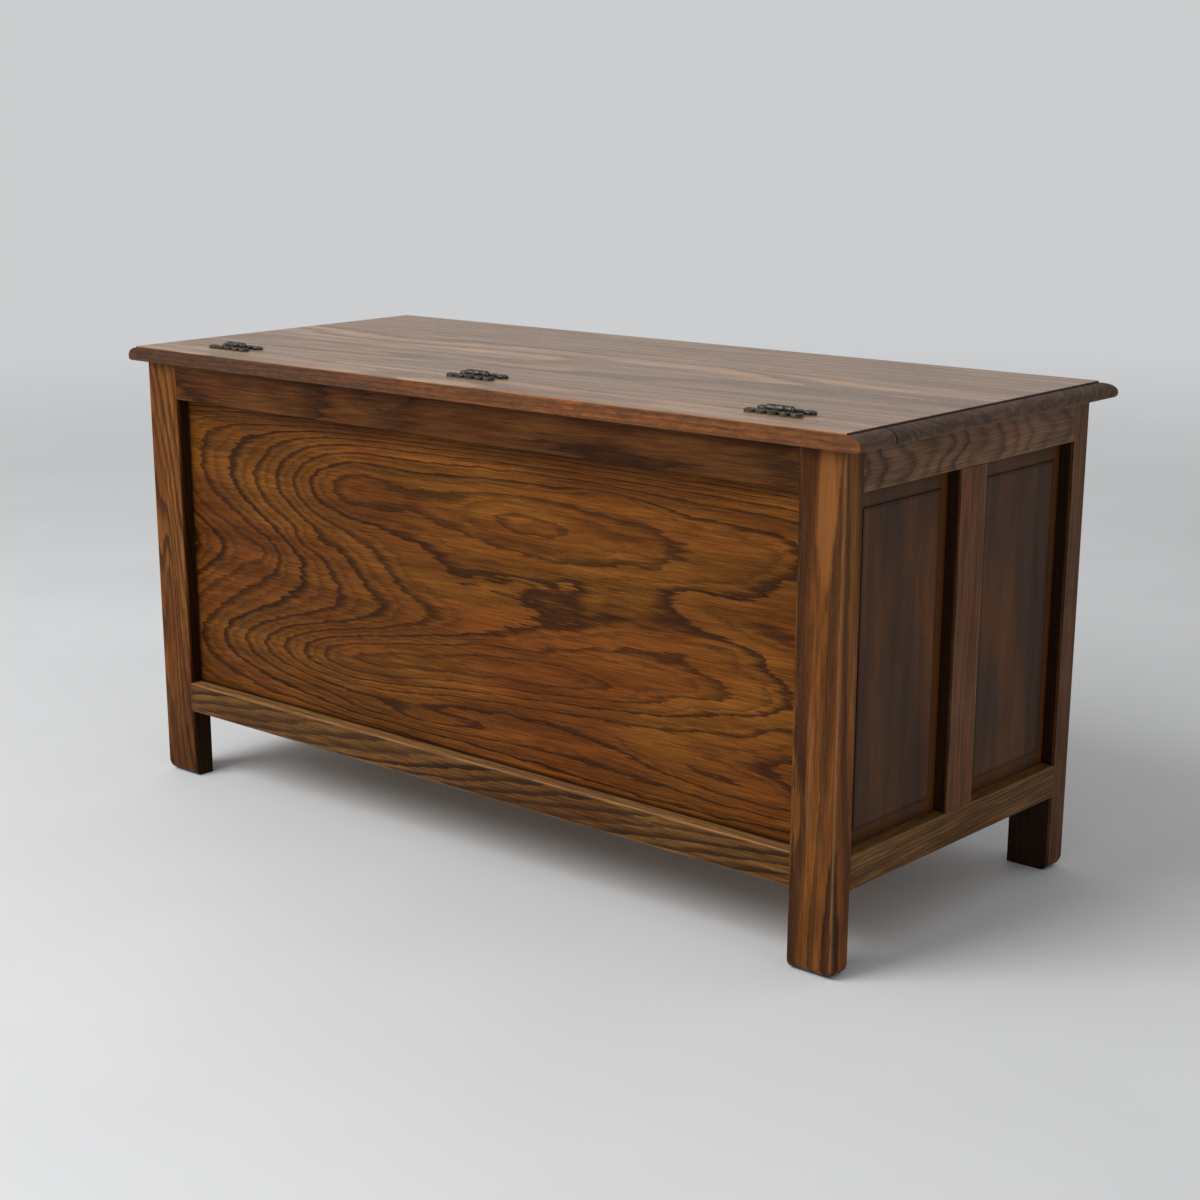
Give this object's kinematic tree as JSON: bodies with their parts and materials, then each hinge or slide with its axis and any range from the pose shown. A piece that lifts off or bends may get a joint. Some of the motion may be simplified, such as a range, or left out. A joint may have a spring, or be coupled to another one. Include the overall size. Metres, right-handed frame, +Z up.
{
  "type": "blanket chest",
  "caption": "Framed and panelled oak blanket chest with a moulded lid hung on butterfly hinges from a fixed back strip.",
  "frame": {"origin": "on the floor under the middle of the top", "axes": "+X along the chest, +Y towards the plain back and the hinges, +Z up; the front faces -Y"},
  "size_m": [1.053, 0.464, 0.5379],
  "materials": {
    "back_oak": "satin, stained and waxed",
    "frame_oak": "satin, stained and waxed",
    "panel_oak": "satin, stained dark",
    "top_oak": "satin, worn",
    "inside_timber": "bare",
    "antique_brass": "antiqued"
  },
  "bodies": {
    "carcase": {"bottom_board": "inside_timber", "cleat_back": "inside_timber", "cleat_front": "inside_timber", "cleat_left": "inside_timber", "cleat_right": "inside_timber", "hinge_1_pin": "antique_brass", "hinge_1_strip_leaf": "antique_brass", "hinge_2_pin": "antique_brass", "hinge_2_strip_leaf": "antique_brass", "hinge_3_pin": "antique_brass", "hinge_3_strip_leaf": "antique_brass", "hinge_strip": "top_oak", "muntin_front_1": "frame_oak", "muntin_front_2": "frame_oak", "muntin_front_3": "frame_oak", "muntin_left": "frame_oak", "muntin_right": "frame_oak", "panel_back": "back_oak", "panel_front_1": "panel_oak", "panel_front_2": "panel_oak", "panel_front_3": "panel_oak", "panel_front_4": "panel_oak", "panel_left_back": "panel_oak", "panel_left_front": "panel_oak", "panel_right_back": "panel_oak", "panel_right_front": "panel_oak", "post_back_left": "frame_oak", "post_back_right": "frame_oak", "post_front_left": "frame_oak", "post_front_right": "frame_oak", "rail_back_bottom": "frame_oak", "rail_back_top": "frame_oak", "rail_front_bottom": "frame_oak", "rail_front_top": "frame_oak", "rail_left_bottom": "frame_oak", "rail_left_top": "frame_oak", "rail_right_bottom": "frame_oak", "rail_right_top": "frame_oak", "screw_1_strip_1": "antique_brass", "screw_1_strip_2": "antique_brass", "screw_2_strip_1": "antique_brass", "screw_2_strip_2": "antique_brass", "screw_3_strip_1": "antique_brass", "screw_3_strip_2": "antique_brass"},
    "lid": {"hinge_1_lid_leaf": "antique_brass", "hinge_2_lid_leaf": "antique_brass", "hinge_3_lid_leaf": "antique_brass", "lid": "top_oak", "screw_1_lid_1": "antique_brass", "screw_1_lid_2": "antique_brass", "screw_2_lid_1": "antique_brass", "screw_2_lid_2": "antique_brass", "screw_3_lid_1": "antique_brass", "screw_3_lid_2": "antique_brass"}
  },
  "joints": [
    {"name": "lid_hinge", "type": "hinge", "parent": "carcase", "child": "lid", "pos_m": [0, 0.1735, 0.5341], "axis": [-1, 0, 0], "range_deg": [0, 98]}
  ]
}
